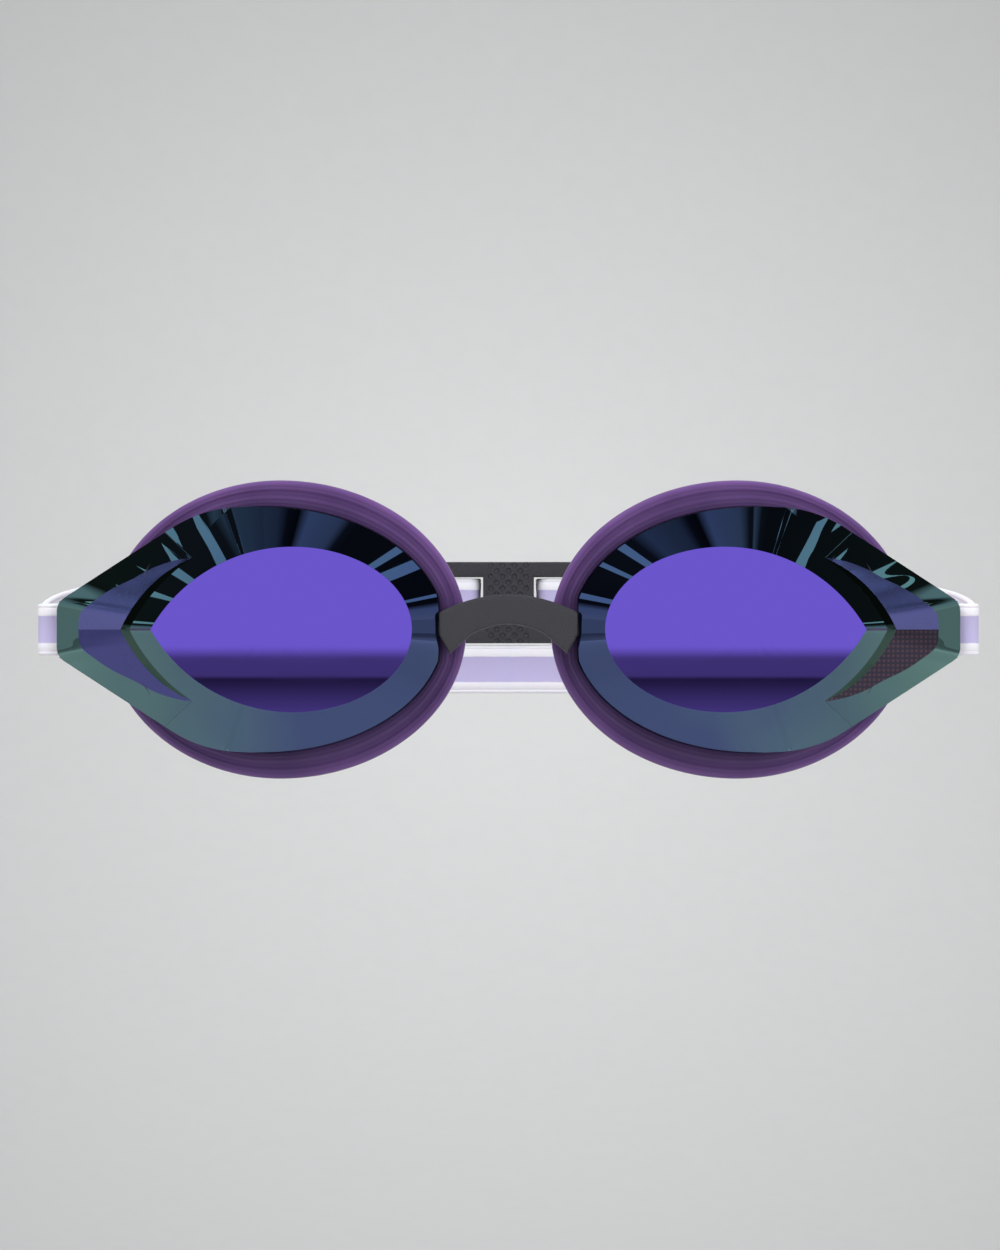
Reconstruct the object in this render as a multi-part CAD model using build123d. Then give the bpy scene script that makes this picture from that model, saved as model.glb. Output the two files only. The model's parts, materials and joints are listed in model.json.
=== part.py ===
from build123d import *
import os
from math import atan2, cos, degrees, sin, sqrt

os.makedirs("parts", exist_ok=True)

# Racing swim goggles in millimetres.  X runs across the face, Y from the front of the lenses to
# the back of the head, Z up.  The goggles are the same on both sides of the plane X = 0.
# Left and right are as seen from the front, so the right-hand pieces lie at positive X.

# Lens: one clear moulding with a flat window, a bevel all round it and a wing that sweeps back.
FLAT_X = 36.0            # where the window's round nasal end meets its pointed outer end
FLAT_HALF_HEIGHT = 13.8
FLAT_NASAL = 19.9        # half-ellipse of the nasal end, across
FLAT_ARC_RADIUS = 27.25  # the two arcs that meet in the window's outer point
BEVEL_WIDTH = 6.7
BEVEL_DEPTH = 4.5
LENS_THICKNESS = 2.0
LENS_WALL = 1.8
RIM_X = 41.0             # the rim's highest point
RIM_NASAL = 30.2
RIM_TEMPLE = 22.5
NASAL_END_X = 11.8       # the rim is cut off square here, for the nose bridge
WING_TIP_X = 76.0
WING_TIP_Y = 13.0
WING_CORNER_X = 50.9
WING_TIP_MARGIN = 0.16   # the tip's corners stand this far beyond the strap's edges
WING_SHOULDER_RADIUS = 22.0
WING_TIP_RADIUS = 2.6
CREST_WIDTH = 3.2        # bevel on the centre line, from the window's point to the step
STEP_WIDTH = 1.5
STEP_DEPTH = 2.5

# Seat of the face seal: a plane that leans back towards the temple.
SEAT_NASAL_Y = 11.2
SEAT_SLOPE = 0.16
SEAL_GRIP = 3.3          # how far the seal reaches forward over the cup's wall
SEAL_DEPTH = 6.0         # how far it stands behind the seat
SEAL_X = 38.5
SEAL_HALF_HEIGHT = 25.1
SEAL_NASAL = 31.4
SEAL_TEMPLE = 29.4
SEAL_ROUND = 2.2
SEAL_FIT = 0.1

# Nose bridge: an arched bar with a round bead at each end, snapped into the lenses' sockets.
BRIDGE_TOP = 5.85
BRIDGE_SHOULDER = 2.95
BRIDGE_END_LOW = -1.2
BRIDGE_FOOT_X = 9.8
BRIDGE_FOOT_Z = -4.1
BRIDGE_ARCH_X = 5.7
BRIDGE_ARCH_Z = -0.45
BRIDGE_UNDERSIDE = 0.85
BRIDGE_THICKNESS = 4.0
BRIDGE_GAP = 0.3
BEAD_RADIUS = 1.5
BEAD_INSET = 2.1         # bead axis behind the lens's square nasal end
BEAD_Y = 4.2
BEAD_TOP = 2.9
BEAD_BOTTOM = -2.7
NECK_THICKNESS = 1.6
NECK_SWING = 0.3
BEAD_FIT = 0.06
SOCKET_WALL = 1.2

# Post behind each wing tip, which the strap goes round.
POST_RADIUS = 1.2
POST_INSET = 2.0         # post axis inboard of the wing's tip
POST_Y = 18.4
POST_EAR_DEPTH = 1.5
EAR_HALF_LENGTH = 2.0

# Strap: one silicone band, doubled at the posts into an upper and a lower run.
STRAP_WIDTH = 8.7
STRAP_THICKNESS = 1.3
STRAP_FIT = 0.1          # between the post and the strap round it
STRAP_SIDE_GAP = 0.3
STRAP_OUTER_X = 78.85    # middle of the outer layer, at the post
STRAP_FOLD_BEND = 2.4
STRAP_PIVOT_Y = 27.0
STRAP_BACK_Y = 119.0
STRAP_RISE_LENGTH = 72.0
UPPER_RUN_Z = 4.85
RUN_GAP = 0.5            # between a run's round end and the fold's hollow one
REAR_SPLIT_GAP = 0.8

# Rear clip: a curved frame with two windows.  Each upper run goes in through a window, turns
# round the end bar and lies back on itself as a tail.
CLIP_LENGTH = 39.0
CLIP_RAIL = 2.5          # height of the frame above and below its windows
CLIP_RUN_GAP = 0.35      # between the frame and the lower run
CLIP_BLOCK_WIDTH = 9.2
CLIP_END_BAR = 3.5
CLIP_BAR_THICKNESS = 1.7
CLIP_FRONT_LIP = 1.1     # how far the frame stands forward of the strap's middle
CLIP_GAP = 0.6
CLIP_EDGE_GAP = 0.5
CLIP_CORNER = 3.0
TAIL_END_GAP = 1.0       # between the turned strap and the clip's middle block
TAIL_END_X = 34.0

FAR = 60.0               # beyond the pieces, for cutting blocks
TALL = 80.0

strap_half = STRAP_WIDTH / 2
strap_layer = STRAP_THICKNESS / 2
rim_half_height = FLAT_HALF_HEIGHT + BEVEL_WIDTH
flat_tip_x = FLAT_X + sqrt(FLAT_ARC_RADIUS**2 - (FLAT_ARC_RADIUS - FLAT_HALF_HEIGHT) ** 2)
bead_x = NASAL_END_X + BEAD_INSET
post_x = WING_TIP_X - POST_INSET
fold_radius = POST_RADIUS + STRAP_FIT + strap_layer
strap_inner_x = post_x - fold_radius
fold_front_y = POST_Y - fold_radius
loop_depth = STRAP_BACK_Y - STRAP_PIVOT_Y
tail_offset = STRAP_THICKNESS + 2 * CLIP_GAP + CLIP_BAR_THICKNESS
clip_back = strap_layer + CLIP_GAP + CLIP_BAR_THICKNESS
window_height = STRAP_WIDTH + 2 * CLIP_EDGE_GAP
clip_height = window_height + 2 * CLIP_RAIL
lower_run_z = UPPER_RUN_Z - clip_height / 2 - CLIP_RUN_GAP - strap_half
wing_tip_half = strap_half + WING_TIP_MARGIN


def front_plane(y):
    """Plane at depth y whose drawing axes are X and Z."""
    return Plane(origin=(0, y, 0), x_dir=(1, 0, 0), z_dir=(0, -1, 0))


def front_prism(face, start, end):
    """Carry a front-view outline back from one depth to another."""
    return extrude(front_plane(start) * face, amount=start - end)


def plan_prism(face, half_height=TALL / 2):
    """Carry a plan-view outline up and down by the same height."""
    return extrude(face, amount=half_height, both=True)


def block(low, high):
    """Box from one corner to the other."""
    middle = [(a + b) / 2 for a, b in zip(low, high)]
    size = [b - a for a, b in zip(low, high)]
    return Pos(*middle) * Box(*size)


def upright(x, y, radius, bottom, top):
    """Round upright bar."""
    return Pos(x, y, (bottom + top) / 2) * Cylinder(radius, top - bottom)


def seat_y(x):
    """Depth of the seal's seat at a distance from the middle."""
    return SEAT_NASAL_Y + SEAT_SLOPE * (x - NASAL_END_X)


def slanted_slab(front_shift, back_shift):
    """Slab between two planes parallel to the seal's seat."""
    ends = [(0, seat_y(0)), (WING_TIP_X + FAR, seat_y(WING_TIP_X + FAR))]
    corners = [(x, y + front_shift) for x, y in ends]
    corners += [(x, y + back_shift) for x, y in reversed(ends)]
    return plan_prism(Polygon(*corners, align=None))


def flat_outline(outset):
    """The window's outline, or one drawn round it at an equal distance."""
    radius = FLAT_ARC_RADIUS + outset
    drop = FLAT_ARC_RADIUS - FLAT_HALF_HEIGHT
    tip = FLAT_X + sqrt(radius**2 - drop**2)
    half = FLAT_HALF_HEIGHT + outset
    nasal = EllipticalCenterArc((FLAT_X, 0), FLAT_NASAL + outset, half, 90, arc_size=180)
    sweep = degrees(atan2(tip - FLAT_X, drop))
    low = CenterArc((FLAT_X, drop), radius, 270, sweep)
    high = CenterArc((FLAT_X, -drop), radius, 90 - sweep, sweep)
    return make_face(Curve() + [nasal, low, high])


def cup_outline(inset):
    """The eyecup's wall line: two half-ellipses, cut off square at the nose."""
    half = rim_half_height - inset
    nasal = EllipticalCenterArc((RIM_X, 0), RIM_NASAL - inset, half, 90, arc_size=180)
    temple = EllipticalCenterArc((RIM_X, 0), RIM_TEMPLE - inset, half, 270, arc_size=180)
    start = NASAL_END_X + inset
    keep = Pos(start + FAR, 0) * Rectangle(2 * FAR, 2 * FAR)
    return make_face(Curve() + [nasal, temple]) & keep


def wing_outline(inset):
    """The wing's outline from the rim's highest point to the tip."""
    upper = [(RIM_X, rim_half_height), (WING_CORNER_X, rim_half_height), (WING_TIP_X, wing_tip_half)]
    lower = [(x, -z) for x, z in reversed(upper)]
    face = make_face(Polyline(*upper, *lower, close=True))
    shoulders = [v for v in face.vertices() if abs(v.X - WING_CORNER_X) < STEP_WIDTH]
    face = fillet(shoulders, WING_SHOULDER_RADIUS)
    corners = [v for v in face.vertices() if abs(v.X - WING_TIP_X) < STEP_WIDTH]
    face = fillet(corners, WING_TIP_RADIUS)
    return offset(face, -inset) if inset else face


def front_shape(shift):
    """Everything behind the window, the bevel and the swept face of the wing."""
    reach = 2 * BEVEL_DEPTH
    inner = front_plane(shift) * flat_outline(0)
    outer = front_plane(shift + reach) * flat_outline(2 * BEVEL_WIDTH)
    bevel = loft([inner, outer], ruled=True)
    behind = block((0, shift + reach, -TALL / 2), (WING_TIP_X + FAR, shift + FAR, TALL / 2))
    crest_y = CREST_WIDTH * BEVEL_DEPTH / (BEVEL_WIDTH + 1.0)
    step_x = flat_tip_x + CREST_WIDTH + STEP_WIDTH
    plan = [
        (0, shift),
        (flat_tip_x, shift),
        (flat_tip_x + CREST_WIDTH, shift + crest_y),
        (step_x, shift + crest_y + STEP_DEPTH),
        (WING_TIP_X, shift + WING_TIP_Y),
        (WING_TIP_X + FAR, shift + WING_TIP_Y),
        (WING_TIP_X + FAR, shift + FAR),
        (0, shift + FAR),
    ]
    return (bevel + behind) & plan_prism(Polygon(*plan, align=None))


def bead_socket():
    """Boss for the bridge's bead, and the hollow to cut from it."""
    height = BEAD_TOP - BEAD_BOTTOM
    middle = (BEAD_TOP + BEAD_BOTTOM) / 2
    outer = BEAD_RADIUS + BEAD_FIT + SOCKET_WALL
    boss = Pos(bead_x, BEAD_Y, middle) * Cylinder(outer, height + 2 * SOCKET_WALL)
    hollow = Pos(bead_x, BEAD_Y, middle) * Cylinder(BEAD_RADIUS + BEAD_FIT, height + 2 * BEAD_FIT)
    mouth_half = NECK_THICKNESS / 2 + NECK_SWING
    mouth = block(
        (0, BEAD_Y - mouth_half, BEAD_BOTTOM - BEAD_FIT),
        (bead_x, BEAD_Y + mouth_half, BEAD_TOP + BEAD_FIT),
    )
    return boss, hollow + mouth


def lens():
    """Right-hand lens with its eyecup wall, wing, strap post and bridge socket."""
    cup_prism = front_prism(cup_outline(0), 0, FAR)
    wing_prism = front_prism(wing_outline(0), 0, FAR)
    outer_face = front_shape(0)
    inner_face = front_shape(LENS_THICKNESS)
    boss, socket = bead_socket()

    cup = cup_prism & slanted_slab(-FAR, 0) & outer_face
    cup -= front_prism(cup_outline(LENS_WALL), 0, FAR) & inner_face
    cup = cup + (boss & cup_prism & outer_face) - socket

    wing = wing_prism & slanted_slab(-FAR, -SEAL_GRIP - BRIDGE_GAP) & outer_face
    wing -= front_prism(wing_outline(LENS_WALL), 0, FAR) & inner_face
    ears = wing_prism & outer_face & block(
        (post_x - EAR_HALF_LENGTH, WING_TIP_Y, -rim_half_height),
        (post_x + EAR_HALF_LENGTH, POST_Y + POST_EAR_DEPTH, rim_half_height),
    )
    clear_half = strap_half + STRAP_SIDE_GAP
    slot = block(
        (strap_inner_x - 2 * STRAP_THICKNESS, fold_front_y - 2 * strap_layer, -clear_half),
        (WING_TIP_X + FAR, POST_Y + FAR, clear_half),
    )
    wing = wing + ears - slot + upright(post_x, POST_Y, POST_RADIUS, -clear_half, clear_half)
    return cup + (wing - cup_prism)


def seal():
    """Right-hand face seal: a soft ring that grips the cup's wall and seats on its edge."""
    half = SEAL_HALF_HEIGHT
    nasal = EllipticalCenterArc((SEAL_X, 0), SEAL_NASAL, half, 90, arc_size=180)
    temple = EllipticalCenterArc((SEAL_X, 0), SEAL_TEMPLE, half, 270, arc_size=180)
    ring = front_prism(make_face(Curve() + [nasal, temple]), 0, FAR)
    ring &= slanted_slab(-SEAL_GRIP, SEAL_DEPTH)
    ring = fillet(ring.edges().filter_by(lambda e: e.length > SEAL_HALF_HEIGHT), SEAL_ROUND)
    grip = front_prism(cup_outline(-SEAL_FIT), 0, FAR) & slanted_slab(-FAR, 0)
    opening = front_prism(cup_outline(LENS_WALL), 0, FAR)
    return ring - grip - opening


def nose_bridge():
    """Arched bar between the lenses, with its two beads."""
    end_x = NASAL_END_X - BRIDGE_GAP
    right_side = [
        (BRIDGE_ARCH_X, BRIDGE_ARCH_Z),
        (BRIDGE_FOOT_X, BRIDGE_FOOT_Z),
        (end_x, BRIDGE_END_LOW),
        (end_x, BRIDGE_SHOULDER),
    ]
    left_side = [(-x, z) for x, z in reversed(right_side)]
    top = ThreePointArc(right_side[-1], (0, BRIDGE_TOP), left_side[0])
    underside = ThreePointArc(left_side[-1], (0, BRIDGE_UNDERSIDE), right_side[0])
    outline = make_face(Curve() + [Polyline(*right_side), top, Polyline(*left_side), underside])
    half = BRIDGE_THICKNESS / 2
    bar = front_prism(outline, BEAD_Y - half, BEAD_Y + half)
    for side in (-1, 1):
        neck = block(
            (BRIDGE_FOOT_X, BEAD_Y - NECK_THICKNESS / 2, BEAD_BOTTOM),
            (bead_x, BEAD_Y + NECK_THICKNESS / 2, BEAD_TOP),
        )
        bead = neck + upright(bead_x, BEAD_Y, BEAD_RADIUS, BEAD_BOTTOM, BEAD_TOP)
        bar += bead if side > 0 else mirror(bead, about=Plane.YZ)
    return bar


def loop_band(half_width, low, high):
    """Plan of a quarter loop between two distances from its middle line, with a straight start."""
    centre = (0, STRAP_PIVOT_Y)
    outer = EllipticalCenterArc(centre, half_width + high, loop_depth + high, 0, arc_size=90)
    inner = EllipticalCenterArc(centre, half_width + low, loop_depth + low, 0, arc_size=90)
    back = Line(outer @ 1, inner @ 1)
    front = Line(inner @ 0, outer @ 0)
    start = Pos(half_width + (low + high) / 2, STRAP_PIVOT_Y - strap_half / 2)
    return make_face(Curve() + [outer, back, inner, front]) + start * Rectangle(high - low, strap_half)


def run_side(rear_z):
    """Side view of a run: a round end, a smooth rise or fall, and a level back."""
    step = STRAP_RISE_LENGTH / 3
    level_y = STRAP_PIVOT_Y + STRAP_RISE_LENGTH
    edges = []
    for shift in (strap_half, -strap_half):
        heights = [0, rear_z / 2, rear_z, rear_z]
        points = [(STRAP_PIVOT_Y + i * step, z + shift) for i, z in enumerate(heights)]
        edges.append([Bezier(*points), Line(points[-1], (level_y + FAR, rear_z + shift))])
    ends = [Line((level_y + FAR, rear_z + strap_half), (level_y + FAR, rear_z - strap_half))]
    ends.append(Line((STRAP_PIVOT_Y, strap_half), (STRAP_PIVOT_Y, -strap_half)))
    return make_face(Curve() + edges[0] + edges[1] + ends) + Pos(STRAP_PIVOT_Y, 0) * Circle(strap_half)


def side_prism(face):
    """Carry a side-view outline right across."""
    return extrude(Plane.YZ * face, amount=2 * FAR, both=True)


def strap_run(half_width, rear_z, inner_x):
    """Right half of a run, from its pivot to a distance from the middle of the back."""
    band = plan_prism(loop_band(half_width, -strap_layer, strap_layer)) & side_prism(run_side(rear_z))
    return band & block((inner_x, 0, -TALL / 2), (2 * FAR, 2 * FAR + STRAP_BACK_Y, TALL / 2))


def upper_run():
    """Right upper run, its turn round the clip's end bar and its tail."""
    turn_radius = tail_offset / 2
    turn_x = CLIP_BLOCK_WIDTH / 2 + TAIL_END_GAP + turn_radius + strap_layer
    width, depth = STRAP_OUTER_X + turn_radius, loop_depth + turn_radius
    angle = atan2(sqrt(1 - (turn_x / width) ** 2), turn_x / width)
    turn_y = STRAP_PIVOT_Y + depth * sin(angle)
    lean = degrees(atan2(-depth * cos(angle), width * sin(angle)))
    place = Pos(turn_x, turn_y) * Rot(0, 0, lean)
    outside = place * Pos(FAR, 0) * Rectangle(2 * FAR, 2 * FAR)
    ring = Circle(turn_radius + strap_layer) - Circle(turn_radius - strap_layer)
    turn = place * (ring & Pos(-FAR, 0) * Rectangle(2 * FAR, 2 * FAR))
    tail = loop_band(STRAP_OUTER_X, tail_offset - strap_layer, tail_offset + strap_layer) & outside
    tail &= Pos(TAIL_END_X / 2, STRAP_BACK_Y) * Rectangle(TAIL_END_X, loop_depth)
    flat = Pos(0, 0, UPPER_RUN_Z) * plan_prism(turn + tail, strap_half)
    main = strap_run(STRAP_OUTER_X, UPPER_RUN_Z, 0) & plan_prism(
        outside + Pos(turn_x + 1.5 * FAR, 0) * Rectangle(2 * FAR, 4 * FAR)
    )
    return main + flat


def strap_fold():
    """Right fold of the strap round its post, with two short legs."""
    legs = []
    for grow in (strap_layer, -strap_layer):
        low_x, high_x = strap_inner_x - grow, STRAP_OUTER_X + grow
        front = fold_front_y - grow
        face = Polygon(
            (low_x, front), (high_x, front), (high_x, STRAP_PIVOT_Y), (low_x, STRAP_PIVOT_Y), align=None
        )
        corners = face.vertices().sort_by(Axis.Y)[:2].sort_by(Axis.X)
        face = fillet(corners[1], STRAP_FOLD_BEND + grow)
        corners = face.vertices().sort_by_distance((low_x, front))
        legs.append(fillet(corners[0], fold_radius + grow))
    fold = plan_prism(legs[0] - legs[1], strap_half)
    hollow = Pos(STRAP_PIVOT_Y, 0) * Circle(strap_half + RUN_GAP)
    return fold - side_prism(hollow)


def rear_clip():
    """Curved frame with a middle block, two windows and two end bars."""
    half_band = loop_band(STRAP_OUTER_X, -CLIP_FRONT_LIP, clip_back)
    band = plan_prism(half_band + mirror(half_band, about=Plane.YZ))
    outline = RectangleRounded(CLIP_LENGTH, clip_height, CLIP_CORNER)
    frame = band & front_prism(Pos(0, UPPER_RUN_Z) * outline, STRAP_PIVOT_Y + loop_depth / 2, 3 * FAR)
    window_width = (CLIP_LENGTH - CLIP_BLOCK_WIDTH) / 2 - CLIP_END_BAR
    window_x = (CLIP_BLOCK_WIDTH + window_width) / 2
    inlet = loop_band(STRAP_OUTER_X, -2 * CLIP_FRONT_LIP, strap_layer + CLIP_GAP)
    inlet &= Pos(CLIP_BLOCK_WIDTH / 2 + FAR / 2, STRAP_BACK_Y) * Rectangle(FAR, loop_depth)
    inlet = Pos(0, 0, UPPER_RUN_Z) * plan_prism(inlet, window_height / 2)
    for side in (-1, 1):
        opening = Pos(side * window_x, UPPER_RUN_Z) * Rectangle(window_width, window_height)
        frame -= front_prism(opening, STRAP_PIVOT_Y, 3 * FAR)
        frame -= inlet if side > 0 else mirror(inlet, about=Plane.YZ)
    return frame


def write(name, shape):
    """Write one piece to its own file, with the origin where the seals meet the face."""
    face_y = seat_y(SEAL_X + SEAL_TEMPLE) + SEAL_DEPTH
    export_step(Pos(0, -face_y, 0) * shape, f"parts/{name}.step")


def write_pair(name, shape):
    """Write a right-hand piece and its mirror image."""
    write(f"right_{name}", shape)
    write(f"left_{name}", mirror(shape, about=Plane.YZ))


write_pair("lens", lens())
write_pair("seal", seal())
write("nose_bridge", nose_bridge())
write_pair("strap_fold", strap_fold())
write_pair("strap_upper", upper_run())
write_pair("strap_lower", strap_run(strap_inner_x, lower_run_z, REAR_SPLIT_GAP / 2))
write("rear_clip", rear_clip())
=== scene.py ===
"""Racing swim goggles: mirrored lens shells, soft seals, nose bridge, strap and rear clip.

All shapes are worked out in millimetres, measured back from the plane of the two windows, and
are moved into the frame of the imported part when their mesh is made.
"""

import json
import math

import bmesh
import bpy
import numpy as np
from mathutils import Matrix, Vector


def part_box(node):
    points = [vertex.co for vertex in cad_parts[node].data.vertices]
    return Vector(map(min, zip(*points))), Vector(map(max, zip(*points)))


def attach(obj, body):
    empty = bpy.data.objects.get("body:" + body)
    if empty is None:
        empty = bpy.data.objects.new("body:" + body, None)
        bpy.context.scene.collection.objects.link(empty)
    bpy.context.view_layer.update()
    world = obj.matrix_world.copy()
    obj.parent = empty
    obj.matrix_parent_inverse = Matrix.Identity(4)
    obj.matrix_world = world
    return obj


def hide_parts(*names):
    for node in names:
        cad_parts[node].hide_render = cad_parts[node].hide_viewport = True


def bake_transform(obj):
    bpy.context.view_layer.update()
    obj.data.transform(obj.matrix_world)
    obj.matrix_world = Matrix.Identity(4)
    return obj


bl_info = {
    "name": "Racing swim goggles",
    "version": (1, 0, 0),
    "blender": (4, 5, 0),
    "location": "View3D > Sidebar > Goggles",
    "description": "Builds the finished surfaces and materials of a pair of swim goggles",
    "category": "Add Mesh",
}

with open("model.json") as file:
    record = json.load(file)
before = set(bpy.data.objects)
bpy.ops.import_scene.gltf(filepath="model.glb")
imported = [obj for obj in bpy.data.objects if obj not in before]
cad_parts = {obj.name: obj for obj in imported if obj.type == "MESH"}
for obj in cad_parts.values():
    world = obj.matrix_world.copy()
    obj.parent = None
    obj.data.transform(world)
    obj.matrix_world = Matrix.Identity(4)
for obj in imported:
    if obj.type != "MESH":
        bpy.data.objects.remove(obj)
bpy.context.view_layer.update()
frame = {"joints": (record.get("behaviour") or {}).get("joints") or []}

MM = 0.001
SIDES = {"right": 1, "left": -1}


def node_box(name):
    """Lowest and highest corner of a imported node, in millimetres."""
    return tuple(np.array(corner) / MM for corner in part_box(name))


LENS_LOW, LENS_HIGH = node_box("right_lens")
FRONT_Y = LENS_LOW[1]


def joint_place(name):
    """Where a joint's axis stands, in millimetres behind the windows' plane."""
    joint = next(j for j in frame["joints"] if j["name"] == name)
    return np.array(joint["pos_m"]) / MM - (0, FRONT_Y, 0)


BEAD = joint_place("right_eyecup_flex")
POST = joint_place("right_strap_swivel")
UPPER_PIVOT = joint_place("right_upper_lift")
LOWER_PIVOT = joint_place("right_lower_drop")


def linear(hex_colour, alpha=1.0):
    """An sRGB hex colour as linear RGBA."""
    channels = np.array([int(hex_colour[i:i + 2], 16) for i in (0, 2, 4)]) / 255
    low, high = channels / 12.92, ((channels + 0.055) / 1.055) ** 2.4
    return (*np.where(channels <= 0.04045, low, high), alpha)


# ---- Settings that a user would change


def length(name, default_mm, description):
    """A size, kept in metres."""
    return bpy.props.FloatProperty(
        name=name, description=description, default=default_mm * MM, min=0.0, unit="LENGTH", precision=5)


def colour(name, default, description):
    """A linear colour, given here as sRGB hex."""
    return bpy.props.FloatVectorProperty(
        name=name, description=description, default=linear(default), min=0.0, max=1.0, size=4,
        subtype="COLOR")


class GogglesLensSettings(bpy.types.PropertyGroup):
    """Sizes and mirror tints of the two lens shells."""

    wall: length("Wall", 1.8, "Thickness of the moulded shell")
    crest: length("Crest width", 3.2, "Bevel between the window's point and the step")
    step: length("Step depth", 2.5, "Drop from the crest to the wing's facets")
    edge_round: length("Edge rounding", 0.12, "Radius on the edges between facets")
    dot_pitch: length("Dot pitch", 0.8, "Distance between the printed dots on one facet")
    window_tint: colour("Window tint", "765FE0", "Mirror coating on the flat window")
    # The bevel, outer, facet, lower facet and step tints are painted reflection colour: each stands in for
    # the colour the mirror's reflection shows from the front at that facet's slant, and the lower facet's
    # darker tint for its darker reflection.
    bevel_tint: colour("Bevel tint", "505E8A", "Mirror coating on the bevel near the nose")
    outer_tint: colour("Outer tint", "6F9490", "Mirror coating towards the wing tip")
    facet_tint: colour("Facet tint", "8284C8", "Mirror coating on the wing's two facets")
    lower_tint: colour("Lower facet tint", "5C5C9C", "Mirror coating on the lower facet")
    dark_tint: colour("Dotted facet tint", "4A4656", "Mirror coating on the dotted facet")
    step_tint: colour("Step tint", "35564C", "Mirror coating on the step round the window's point")
    dot_tint: colour("Dot tint", "7C5C66", "Printed dots under the coating")


class GogglesSoftSettings(bpy.types.PropertyGroup):
    """Sizes and colours of the silicone and the charcoal mouldings."""

    strap_thickness: length("Strap thickness", 1.3, "Thickness of the strap at its edges")
    strap_recess: length("Stripe recess", 0.08, "How far the stripe lies below the edges")
    stripe_width: length("Stripe width", 4.6, "Width of the lavender stripe")
    seal_ripple: length("Seal ripple", 0.02, "Height of the fine rings on the seal's front")
    clip_round: length("Clip rounding", 0.45, "Radius on the clip's long edges")
    seal_colour: colour("Seal", "6A4A86", "Purple of the face seals")
    strap_edge: colour("Strap edge", "F3F1F8", "White of the strap's two edges")
    strap_middle: colour("Strap middle", "C4BCE2", "Lavender of the strap's stripe")
    charcoal: colour("Charcoal", "3A393E", "Moulded plastic of the bridge and the clip")


class GogglesStageSettings(bpy.types.PropertyGroup):
    """Camera, floor and backdrop."""

    distance: length("Camera distance", 1400.0, "From the windows' plane")
    focal: bpy.props.FloatProperty(
        name="Focal length", description="In millimetres, on a 36 mm sensor along the tall side",
        default=241.9, min=10.0)
    floor: length("Floor depth", 200.0, "How far the floor lies below the windows' middle")
    backdrop: colour("Backdrop", "CECECD", "Pale grey of the floor and backdrop")


# ---- Small tools for numpy surfaces


def grid_faces(rows, columns, wrap_rows=False, wrap_columns=False):
    """Quads over a grid of points, joined to its first row or column where it wraps. The point in
    row i and column j has the number i times the columns plus j."""
    i, j = np.meshgrid(
        np.arange(rows - (not wrap_rows)), np.arange(columns - (not wrap_columns)), indexing="ij")
    i, j = i.ravel(), j.ravel()
    down, along = (i + 1) % rows, (j + 1) % columns
    return np.stack([i * columns + j, down * columns + j, down * columns + along, i * columns + along], 1)


class Surface:
    """Collects patches of points in millimetres and turns them into one mesh object."""

    def __init__(self):
        self.points, self.faces, self.slots, self.across = [], [], [], []
        self.count = 0

    def patch(self, grid, wrap_rows=False, wrap_columns=False, slot=0, across=None):
        """Add a grid of points (rows, columns, 3). The slot is one number or one for each face,
        and across is a value from 0 to 1 for each point."""
        rows, columns = grid.shape[:2]
        faces = grid_faces(rows, columns, wrap_rows, wrap_columns)
        self.points.append(grid.reshape(-1, 3))
        self.faces.append(faces + self.count)
        spread = (rows - (not wrap_rows), columns - (not wrap_columns))
        self.slots.append(np.broadcast_to(slot, spread).ravel())
        values = np.zeros((rows, columns)) if across is None else across
        self.across.append(np.broadcast_to(values, (rows, columns)).ravel())
        self.count += rows * columns

    def tube(self, loops, slot=0, across=None):
        """Add a closed skin over a row of closed loops, with a flat cap at each end."""
        middles = loops.mean(axis=1, keepdims=True) + 0 * loops
        skin = np.concatenate([middles[:1], loops, middles[-1:]])
        spread = None
        if across is not None:
            spread = np.concatenate([across[:1], across, across[-1:]])
        self.patch(skin, wrap_columns=True, slot=slot, across=spread)

    def finish(self, name, side, materials, sharp_degrees=30):
        """Make the object, mirrored to the left where side is -1, with closed seams."""
        points = np.concatenate(self.points) * (side, 1, 1) + (0, FRONT_Y, 0)
        faces = np.concatenate(self.faces)
        if side < 0:
            faces = faces[:, ::-1]
        mesh = bpy.data.meshes.new(name)
        mesh.from_pydata((points * MM).tolist(), [], faces.tolist())
        mesh.attributes.new("across", "FLOAT", "POINT").data.foreach_set("value", np.concatenate(self.across))
        for material in materials:
            mesh.materials.append(material)
        mesh.polygons.foreach_set("material_index", np.concatenate(self.slots).astype(np.int32))
        mesh.polygons.foreach_set("use_smooth", np.ones(len(faces), bool))
        close_seams(mesh)
        mesh.set_sharp_from_angle(angle=math.radians(sharp_degrees))
        return in_scene(name, mesh)


def in_scene(name, data):
    """A new object, linked to the scene."""
    thing = bpy.data.objects.new(name, data)
    bpy.context.scene.collection.objects.link(thing)
    return thing


def close_seams(mesh):
    """Join points that lie on each other, which closes seams and poles, and face outwards."""
    work = bmesh.new()
    work.from_mesh(mesh)
    bmesh.ops.remove_doubles(work, verts=work.verts, dist=2e-6)
    bmesh.ops.dissolve_degenerate(work, edges=work.edges, dist=1e-7)
    bmesh.ops.recalc_face_normals(work, faces=work.faces)
    work.to_mesh(mesh)
    work.free()


def round_edges(piece, width_mm, degrees):
    """Round every edge sharper than the angle."""
    bevel = piece.modifiers.new("edge rounding", "BEVEL")
    bevel.width = width_mm * MM
    bevel.segments = 2
    bevel.limit_method = "ANGLE"
    bevel.angle_limit = math.radians(degrees)


def polar_radius(outline, centre_x, angles):
    """Distance from (centre_x, 0) to a closed outline of (x, z) points, in each direction, which
    is interpolated between the outline's points by their angle."""
    x, z = outline[:, 0] - centre_x, outline[:, 1]
    around = np.arctan2(z, x)
    order = np.argsort(around)
    return np.interp(angles, around[order], np.hypot(x, z)[order], period=2 * np.pi)


# ---- Materials


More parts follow.
